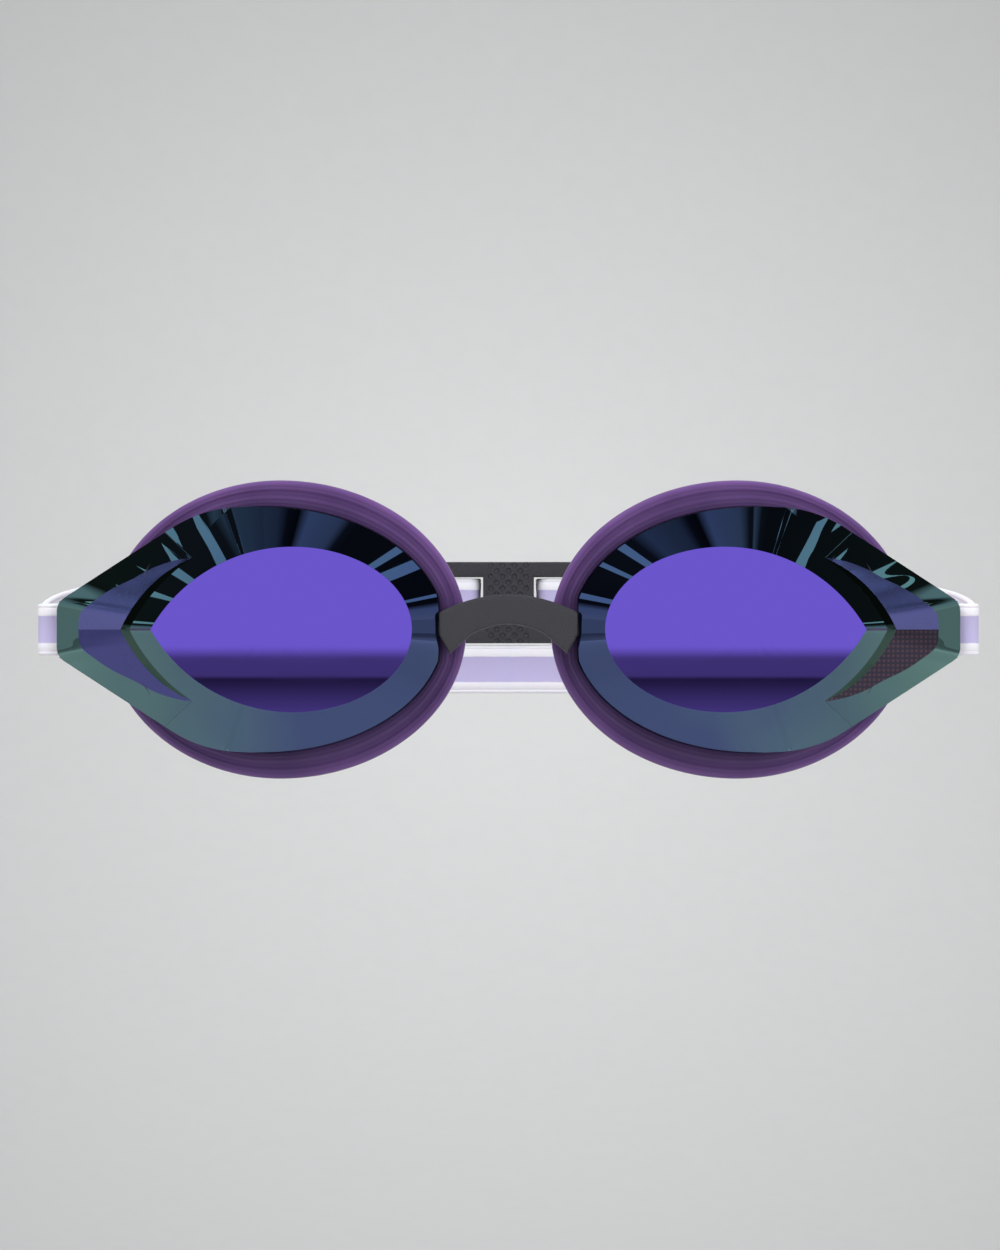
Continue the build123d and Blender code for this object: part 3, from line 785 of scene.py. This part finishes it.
def build_bridge(plastic):
    """An arched bar whose section is a rounded rectangle, with a neck and a bead at each end.

    A section's point at angle t is the mean height plus the half height times squarer(sin t), and
    the mean depth plus the half depth times squarer(cos t). Near the bar's ends it shrinks a little,
    which rounds their edges. The top is a parabola."""
    surface = Surface()
    end, foot = BRIDGE_END, BRIDGE_FOOT
    x = np.unique(np.concatenate([np.linspace(-end, end, 121), [-foot[0], foot[0]]]))
    top = BRIDGE_TOP - (BRIDGE_TOP - BRIDGE_SHOULDER) * (x / end) ** 2
    arch = [(-1.8, 0.7), (0, 0.85), (1.8, 0.7), (3.8, 0.15), (5.7, -0.6), (7.8, -2.3), foot]
    beyond = np.interp(np.abs(x), [foot[0], end], [foot[1], BRIDGE_END_LOW])
    under = np.where(np.abs(x) < foot[0], curve(np.abs(x), arch), beyond)
    t = np.linspace(0, 2 * np.pi, 64, endpoint=False)
    inset = np.clip((end - np.abs(x)) / 0.4, 0, 1) ** 0.5 * 0.06 + 0.94
    depth = BRIDGE_DEPTH + BRIDGE_HALF_DEPTH * inset[:, None] * squarer(np.cos(t))
    middle, half = (top + under)[:, None] / 2, (top - under)[:, None] / 2
    height = middle + half * inset[:, None] * squarer(np.sin(t))
    surface.tube(np.stack([np.broadcast_to(x[:, None], depth.shape), depth, height], -1))
    for side in (-1, 1):
        low, high = sorted((side * NECK_START, side * BEAD[0]))
        surface.tube(box_skin((low, *NECK_LOW), (high, *NECK_HIGH)))
        surface.tube(round_bar(side * BEAD[0], BEAD[1], BEAD_RADIUS, *BEAD_ENDS))
    piece = surface.finish("nose_bridge_bar", 1, [plastic], sharp_degrees=40)
    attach(piece, "nose_bridge")
    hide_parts("nose_bridge")


# ---- Strap

LOOP_DEPTH = 92.0
RISE_LENGTH = 72.0
STRAP_HALF = 4.35
SEAM_Y = 21.5
TURN_RADIUS = 2.1
TURN_GAP = 0.35
TAIL_END_X = 34.0
CLIP_BLOCK = 4.6
UPPER_REAR_Z = node_box("right_strap_upper")[1][2] - STRAP_HALF
LOWER_REAR_Z = node_box("right_strap_lower")[0][2] + STRAP_HALF


def strap_section(thickness, recess, stripe):
    """The strap cut across: height on the band and thickness from its middle, as a closed loop.

    Each face is flat, sunk by the recess over the stripe's width, with a fine groove 0.65 mm from
    each round edge."""
    half, deep = thickness / 2, thickness / 2 - recess
    groove = STRAP_HALF - 0.65
    face = [(-STRAP_HALF, half, 0.4), (-groove - 0.12, half, 0), (-groove, half - 0.1, 0),
            (-groove + 0.12, half, 0), (-stripe / 2 - 0.1, half, 0), (-stripe / 2 + 0.1, deep, 0)]
    face = np.array(face + [(-w, t, radius) for w, t, radius in face[::-1]])
    both = np.concatenate([face[::-1], face * (1, -1, 1)])
    return rounded(both[:, :2], both[:, 2], closed=True, steps=6)


def band_along(surface, plan, height, section):
    """Carry the section along a plan path: its height stays upright and its thickness follows the
    path's outward normal, which is the tangent turned by a right angle."""
    tangent = np.gradient(plan, axis=0)
    tangent /= np.linalg.norm(tangent, axis=1)[:, None]
    normal = np.stack([tangent[:, 1], -tangent[:, 0]], 1)
    place = plan[:, None] + normal[:, None] * section[None, :, 1:]
    up = height[:, None] + section[None, :, 0]
    across = np.broadcast_to((section[:, 0] + STRAP_HALF) / (2 * STRAP_HALF), up.shape)
    surface.tube(np.concatenate([place, up[..., None]], -1), across=across)


def rise(y, rear_z):
    """Height of a run: 1.5 times the share of the rise less half its cube, which slopes at the
    pivot and is level at the back."""
    share = np.clip((y - UPPER_PIVOT[1]) / RISE_LENGTH, 0, 1)
    return rear_z * (1.5 * share - 0.5 * share**3)


def loop_ellipse(half_width, angles, offset=0.0):
    """Points of the strap's ellipse round the head, moved outwards by the offset."""
    return np.stack([(half_width + offset) * np.cos(angles),
                     UPPER_PIVOT[1] + (LOOP_DEPTH + offset) * np.sin(angles)], 1)


def run_plan(half_width, end_x):
    """A straight start, and then the ellipse from the pivot round to the back."""
    start = np.stack([np.full(12, half_width), np.linspace(SEAM_Y, UPPER_PIVOT[1], 12, endpoint=False)], 1)
    arc = loop_ellipse(half_width, np.linspace(0, math.acos(end_x / half_width), 220))
    return np.concatenate([start, arc])


def upper_plan(half_width):
    """The upper run in plan: forward of the clip's end bar, half a turn round it, and back along
    the outside as a tail."""
    turn_x = CLIP_BLOCK + TURN_GAP + TURN_RADIUS + 0.65
    angle = math.acos(turn_x / (half_width + TURN_RADIUS))
    centre = np.array([turn_x, UPPER_PIVOT[1] + (LOOP_DEPTH + TURN_RADIUS) * math.sin(angle)])
    along = np.array([-(half_width + TURN_RADIUS) * math.sin(angle),
                      (LOOP_DEPTH + TURN_RADIUS) * math.cos(angle)])
    along /= np.linalg.norm(along)
    outward = np.array([along[1], -along[0]])
    main = run_plan(half_width, turn_x)
    main = main[(main - centre) @ along < -0.3]
    turn = np.linspace(0, np.pi, 24)[:, None]
    turned = centre + TURN_RADIUS * (np.sin(turn) * along - np.cos(turn) * outward)
    tail_end = math.acos(TAIL_END_X / (half_width + 2 * TURN_RADIUS))
    tail = loop_ellipse(half_width, np.linspace(angle, tail_end, 60), 2 * TURN_RADIUS)
    tail = tail[(tail - centre) @ along < -0.3]
    return np.concatenate([main, turned, tail])


def build_strap(side_name, settings, silicone):
    """The fold round the post, and the two runs that bend where they leave it."""
    side = SIDES[side_name]
    section = strap_section(settings.strap_thickness / MM, settings.strap_recess / MM,
                            settings.stripe_width / MM)
    outer_x, inner_x = UPPER_PIVOT[0], LOWER_PIVOT[0]
    fold_radius = POST[0] - inner_x
    front_y = POST[1] - fold_radius
    plan = rounded([(inner_x, SEAM_Y), (inner_x, front_y), (outer_x, front_y), (outer_x, SEAM_Y)],
                   [0, fold_radius, 2.4, 0], steps=24)
    fold = Surface()
    plan = dense(plan, 0.35)[::-1]
    band_along(fold, plan, np.zeros(len(plan)), section * (1, -1))
    piece = fold.finish(f"{side_name}_strap_loop", side, [silicone], sharp_degrees=50)
    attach(piece, f"{side_name}_fold")
    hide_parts(f"{side_name}_strap_fold")
    runs = (("upper", upper_plan(outer_x), UPPER_REAR_Z, outer_x),
            ("lower", run_plan(inner_x, 0.0), LOWER_REAR_Z, inner_x))
    for level, path, rear_z, pivot_x in runs:
        run = Surface()
        band_along(run, path, rise(path[:, 1], rear_z), section)
        piece = run.finish(f"{side_name}_{level}_band", side, [silicone], sharp_degrees=50)
        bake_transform(piece)
        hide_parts(f"{side_name}_strap_{level}")


# ---- Rear clip

CLIP_HALF, CLIP_TOP, CLIP_CORNER = 19.5, 7.35, 3.0
CLIP_WINDOW, CLIP_WINDOW_TOP, CLIP_WINDOW_CORNER = 16.0, 4.6, 0.5
# Depths behind the strap's middle line.
CLIP_FRONT, CLIP_BAR_FRONT, CLIP_BACK = -1.1, 1.25, 2.95


def on_loop(x, depth, z):
    """A point of the clip: x across, depth behind the strap's middle line, z up. It lies on the
    strap's ellipse with both half axes made larger by the depth."""
    width, reach = UPPER_PIVOT[0] + depth, LOOP_DEPTH + depth
    y = UPPER_PIVOT[1] + reach * np.sqrt(1 - (x / width) ** 2)
    return np.stack(np.broadcast_arrays(x, y, z), -1)


def rounded_rectangle(half_x, half_z, radius, angles):
    """Distance from the middle of a rounded rectangle to its edge in each direction."""
    corners = [(half_x, -half_z), (half_x, half_z), (-half_x, half_z), (-half_x, -half_z)]
    loop = dense(rounded(corners, [radius] * 4, closed=True, steps=13), 0.1, closed=True)
    return polar_radius(loop, 0.0, angles)


def build_clip(settings, plastic):
    """A curved frame with a middle block. The frame's section is carried round between its inner
    and outer outlines; its end bars are thinner, so that the strap passes in front of them."""
    surface = Surface()
    corner = math.atan2(CLIP_WINDOW_TOP, CLIP_WINDOW)
    exact = np.array([corner, np.pi - corner])
    exact = np.concatenate([exact - 0.002, exact, exact + 0.002])
    even = np.linspace(-np.pi, np.pi, 360, endpoint=False)
    angles = np.unique(np.round(np.concatenate([even, exact, -exact]), 7))
    inner = rounded_rectangle(CLIP_WINDOW, CLIP_WINDOW_TOP, CLIP_WINDOW_CORNER, angles)
    outer = rounded_rectangle(CLIP_HALF, CLIP_TOP, CLIP_CORNER, angles)
    end_bar = (np.abs(np.sin(angles)) * inner < CLIP_WINDOW_TOP - 0.03) & (np.abs(np.cos(angles)) > 0.5)
    front = np.where(end_bar, CLIP_BAR_FRONT, CLIP_FRONT)
    share = rounded([(0, 0), (1, 0), (1, 1), (0, 1)], [0.16] * 4, closed=True, steps=6)
    q, s = share[:, :1], share[:, 1:]
    radius = inner + q * (outer - inner)
    depth = front + s * (CLIP_BACK - front)
    x, z = radius * np.cos(angles), radius * np.sin(angles)
    surface.patch(on_loop(x, depth, z + UPPER_REAR_Z), wrap_rows=True, wrap_columns=True)
    corners = [(-CLIP_BLOCK, CLIP_FRONT), (CLIP_BLOCK, CLIP_FRONT), (CLIP_BLOCK, CLIP_BACK),
               (-CLIP_BLOCK, CLIP_BACK)]
    block = dense(rounded(corners, [settings.clip_round / MM] * 4, closed=True, steps=6), 0.6, closed=True)
    heights = np.linspace(-5.2, 5.2, 15)[:, None] + UPPER_REAR_Z
    surface.tube(on_loop(block[None, :, 0], block[None, :, 1], heights))
    piece = surface.finish("rear_strap_clip", 1, [plastic], sharp_degrees=40)
    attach(piece, "left_upper")
    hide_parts("rear_clip")


# ---- Stage


def emitter(name, stops, axis):
    """A glow whose colour runs through (millimetres, linear colour) stops along one axis."""
    low, high = stops[0][0], stops[-1][0]
    material, output = new_material(name)
    _, axes = object_axes(material)
    along = add(material, "MapRange", {"Value": axes[axis]}, From_Min=low, From_Max=high)
    glow = ramp(material, along.outputs[0],
                [((place - low) / (high - low), (*tone, 1.0)) for place, tone in stops])
    shader = add(material, "Emission", {"Color": glow}, Strength=1.0)
    material.node_tree.links.new(shader.outputs[0], output.inputs["Surface"])
    return material


def backdrop_paper(tint):
    """Seamless studio paper: matt pale grey, a little darker away from the middle of the light."""
    material, output = new_material("seamless backdrop paper")
    place, _ = object_axes(material)
    flat = add(material, "VectorMath", {0: place}, {1: (1.0, 0.0, 1.0)}, operation="MULTIPLY")
    away = add(material, "VectorMath", {0: flat.outputs["Vector"]}, operation="LENGTH")
    far = add(material, "MapRange", {"Value": away.outputs["Value"]}, From_Min=40.0, From_Max=320.0)
    fall = ramp(material, far.outputs[0],
                [(0.0, (1, 1, 1, 1)), (0.5, (0.86, 0.86, 0.86, 1)), (1.0, (0.7, 0.7, 0.7, 1))])
    fibre = add(material, "TexNoise", {"Vector": place}, Scale=0.15, Detail=2.0)
    colour = ramp(material, fibre.outputs["Fac"],
                  [(0.3, tinted(tint, 0.985, 0.985, 0.985)), (0.7, tuple(tint))])
    mix = add(material, "Mix", {6: colour, 7: fall}, {0: 1.0}, data_type="RGBA",
              blend_type="MULTIPLY")
    return shade(material, output, {"Base Color": mix.outputs[2]}, Roughness=0.9)


def reflector_card(name, corners, material):
    """A flat four-cornered card, given in metres, that shows only in reflections."""
    mesh = bpy.data.meshes.new(name)
    mesh.from_pydata(corners, [], [(0, 1, 2, 3)])
    mesh.materials.append(material)
    card = in_scene(name, mesh)
    card.visible_camera = card.visible_diffuse = card.visible_shadow = card.visible_transmission = False


def sweep(settings):
    """Backdrop paper: a flat floor, a quarter circle of 0.7 m and an upright wall."""
    low = -settings.floor
    turn = np.radians(np.linspace(-90, 0, 40))
    y = np.concatenate([[-4.0, -1.0], 0.9 + 0.7 * np.cos(turn), [1.6, 1.6]])
    z = np.concatenate([[low, low], low + 0.7 + 0.7 * np.sin(turn), [1.5, 3.5]])
    rows = np.stack([np.stack([0 * y + x, y, z], 1) for x in np.linspace(-3.5, 3.5, 9)])
    mesh = bpy.data.meshes.new("backdrop")
    mesh.from_pydata(rows.reshape(-1, 3).tolist(), [], grid_faces(9, len(y)).tolist())
    mesh.polygons.foreach_set("use_smooth", np.ones(len(mesh.polygons), bool))
    mesh.materials.append(backdrop_paper(settings.backdrop))
    paper = in_scene("backdrop", mesh)


def soft_light(name, place, target, size, power):
    """A rectangular soft box aimed at a point, which mirrors don't see."""
    data = bpy.data.lights.new(name, "AREA")
    data.shape, data.size, data.size_y, data.energy = "RECTANGLE", size[0], size[1], power
    lamp = in_scene(name, data)
    away = np.array(target, float) - np.array(place, float)
    lamp.location = place
    lamp.rotation_euler = (math.atan2(math.hypot(away[0], away[1]), -away[2]), 0,
                           math.atan2(-away[0], away[1]))
    lamp.visible_glossy = False


def reflectors():
    """What the mirrored faces see: a pale wall behind the camera with a dark band across it, and
    a dark ceiling with a few narrow lamps."""
    bright, band, dark, low = (0.80,) * 3, (0.25, 0.25, 0.22), (0.045, 0.05, 0.036), (0.28, 0.28, 0.25)
    stops = [(-60, low), (-30, low), (-17.6, dark), (-17.2, band), (-10.4, band), (-6.4, bright),
             (60, bright)]
    front, ceiling_height, lamp_height = -1.68, 0.9, 0.89
    corners = [(-0.8, front, -0.06), (0.8, front, -0.06), (0.8, front, 0.5), (-0.8, front, 0.5)]
    reflector_card("front_reflector", corners, emitter("pale studio wall", stops, "Z"))
    side = [(2400, (0.02,) * 3), (3000, (0.40, 0.44, 0.52)), (6000, (0.55,) * 3)]
    middle = [(-420, (0.03,) * 3), (-330, (0.16, 0.2, 0.24)), (-130, (0.10, 0.12, 0.14)), (-90, (0.012,) * 3),
              (-10, (0.012,) * 3), (0, (0.30, 0.36, 0.42)), (140, (0.22, 0.26, 0.3)), (190, (0.02,) * 3)]
    stops = [(-x, tone) for x, tone in side[::-1]] + middle + side
    ceiling = emitter("dark studio ceiling", stops, "X")
    lamp = emitter("narrow ceiling lamp", [(-3000, (0.6, 0.8, 0.86)), (3000, (0.6, 0.8, 0.86))], "X")
    # Each card overhead as left, right, front and back, in metres.
    strips = [(-0.56, -0.48, -0.75, 0.2), (0.52, 0.60, -0.6, 0.2), (-1.35, -1.1, -0.55, -0.3),
              (1.02, 1.3, -0.5, -0.1), (-0.86, -0.78, -0.56, -0.36), (0.70, 0.92, -0.9, -0.5),
              (-2.1, -1.75, -1.0, -0.2), (1.8, 2.0, -1.1, -0.3)]
    overhead = [("ceiling_reflector", (-6, 6, -4, 2), ceiling_height, ceiling)]
    overhead += [(f"ceiling_lamp_{i}", strip, lamp_height, lamp) for i, strip in enumerate(strips)]
    for name, (x0, x1, y0, y1), z, material in overhead:
        reflector_card(name, [(x0, y0, z), (x1, y0, z), (x1, y1, z), (x0, y1, z)], material)


# Each soft light's name, place, target, size and power, in metres and watts.
SOFT_LIGHTS = [
    ("key_light", (-0.7, -1.0, 1.3), (0, 0.03, 0), (1.2, 1.0), 17.0),
    ("fill_light", (1.1, -1.1, 0.6), (0, 0.03, 0), (1.0, 1.0), 9.5),
    ("right_side_light", (1.25, -0.35, 0.05), (0.07, 0.02, 0), (0.7, 0.9), 3.6),
    ("left_side_light", (-1.25, -0.35, 0.05), (-0.07, 0.02, 0), (0.7, 0.9), 3.6),
    ("low_light", (0, -0.8, -0.9), (0, 0.02, 0), (1.4, 0.6), 3.0),
    ("back_light", (0.2, 0.9, 1.2), (0, 0.05, 0), (1.4, 0.6), 8.0),
    ("backdrop_light", (0.0, 0.1, 1.9), (0, 1.6, 0.0), (2.4, 0.8), 14.0),
]


def build_stage(settings):
    """Floor, backdrop, lights, reflectors and the camera."""
    sweep(settings)
    reflectors()
    for light in SOFT_LIGHTS:
        soft_light(*light)
    world = bpy.data.worlds.new("studio")
    world.use_nodes = True
    world.node_tree.nodes["Background"].inputs["Color"].default_value = linear("D2D4DA")
    world.node_tree.nodes["Background"].inputs["Strength"].default_value = 0.62
    scene = bpy.context.scene
    scene.world = world
    scene.view_settings.view_transform = "Standard"
    data = bpy.data.cameras.new("camera")
    data.sensor_width, data.lens = 36.0, settings.focal
    data.shift_x, data.shift_y = -0.0068, 0.0036
    data.clip_end = 20.0
    camera = in_scene("camera", data)
    camera.location = (0, FRONT_Y * MM - settings.distance, 0)
    camera.rotation_euler = (math.pi / 2, 0, 0)
    scene.camera = camera


# ---- Operators


class GOGGLES_OT_lenses(bpy.types.Operator):
    """Build the two mirrored lens shells"""

    bl_idname = "goggles.lenses"
    bl_label = "Lenses"
    bl_options = {"REGISTER", "UNDO"}

    def execute(self, context):
        settings = context.scene.goggles_lens
        # The bevel, step and facet coats carry painted reflection colour in their tints.
        coats = [
            mirror_coating("mirror coating window", settings.window_tint, settings.window_tint),
            mirror_coating("mirror coating bevel", settings.bevel_tint, settings.outer_tint),
            mirror_coating("mirror coating facet", settings.facet_tint, settings.facet_tint, 0.2),
            mirror_coating("mirror coating dotted facet", settings.dark_tint, settings.dark_tint, 0.2,
                           (settings.dot_pitch / MM, settings.dot_tint)),
            smoke_polycarbonate(),
            mirror_coating("mirror coating step", settings.step_tint, settings.step_tint),
            mirror_coating("mirror coating lower facet", settings.lower_tint, settings.lower_tint, 0.2),
        ]
        for side_name in SIDES:
            build_lens(side_name, settings, coats)
        return {"FINISHED"}


class GOGGLES_OT_seals(bpy.types.Operator):
    """Build the two soft face seals"""

    bl_idname = "goggles.seals"
    bl_label = "Seals"
    bl_options = {"REGISTER", "UNDO"}

    def execute(self, context):
        settings = context.scene.goggles_soft
        silicone = seal_silicone(settings.seal_colour)
        for side_name in SIDES:
            build_seal(side_name, settings, silicone)
        return {"FINISHED"}


class GOGGLES_OT_bridge(bpy.types.Operator):
    """Build the nose bridge"""

    bl_idname = "goggles.bridge"
    bl_label = "Nose bridge"
    bl_options = {"REGISTER", "UNDO"}

    def execute(self, context):
        build_bridge(charcoal_plastic(context.scene.goggles_soft.charcoal, "charcoal nylon bridge"))
        return {"FINISHED"}


class GOGGLES_OT_strap(bpy.types.Operator):
    """Build the strap's folds and runs"""

    bl_idname = "goggles.strap"
    bl_label = "Strap"
    bl_options = {"REGISTER", "UNDO"}

    def execute(self, context):
        settings = context.scene.goggles_soft
        share = settings.stripe_width / MM / (2 * STRAP_HALF)
        silicone = strap_silicone(settings.strap_edge, settings.strap_middle, share)
        for side_name in SIDES:
            build_strap(side_name, settings, silicone)
        return {"FINISHED"}


class GOGGLES_OT_clip(bpy.types.Operator):
    """Build the rear clip"""

    bl_idname = "goggles.clip"
    bl_label = "Rear clip"
    bl_options = {"REGISTER", "UNDO"}

    def execute(self, context):
        settings = context.scene.goggles_soft
        build_clip(settings, charcoal_plastic(settings.charcoal, "charcoal nylon clip", knurl=1.5))
        return {"FINISHED"}


class GOGGLES_OT_stage(bpy.types.Operator):
    """Set up the backdrop, the lights and the camera"""

    bl_idname = "goggles.stage"
    bl_label = "Stage"
    bl_options = {"REGISTER", "UNDO"}

    def execute(self, context):
        build_stage(context.scene.goggles_stage)
        return {"FINISHED"}


BUILDERS = (GOGGLES_OT_lenses, GOGGLES_OT_seals, GOGGLES_OT_bridge, GOGGLES_OT_strap, GOGGLES_OT_clip,
            GOGGLES_OT_stage)
SETTINGS = {"goggles_lens": GogglesLensSettings, "goggles_soft": GogglesSoftSettings,
            "goggles_stage": GogglesStageSettings}


class GOGGLES_PT_panel(bpy.types.Panel):
    """Sizes, colours and builders in the sidebar"""

    bl_idname = "GOGGLES_PT_panel"
    bl_label = "Swim goggles"
    bl_space_type = "VIEW_3D"
    bl_region_type = "UI"
    bl_category = "Goggles"

    def draw(self, context):
        for name, group in SETTINGS.items():
            box = self.layout.box()
            for key in group.__annotations__:
                box.prop(getattr(context.scene, name), key)
        for builder in BUILDERS:
            self.layout.operator(builder.bl_idname)


CLASSES = (*SETTINGS.values(), *BUILDERS, GOGGLES_PT_panel)


def register():
    """Register the classes and hang the settings on the scene."""
    for each in CLASSES:
        bpy.utils.register_class(each)
    for name, group in SETTINGS.items():
        setattr(bpy.types.Scene, name, bpy.props.PointerProperty(type=group))


def unregister():
    """Take everything away again."""
    for name in SETTINGS:
        delattr(bpy.types.Scene, name)
    for each in reversed(CLASSES):
        bpy.utils.unregister_class(each)


def main():
    """Build every piece and the stage."""
    register()
    for builder in BUILDERS:
        section, name = builder.bl_idname.split(".")
        getattr(getattr(bpy.ops, section), name)()
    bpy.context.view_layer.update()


if __name__ == "__main__":
    main()
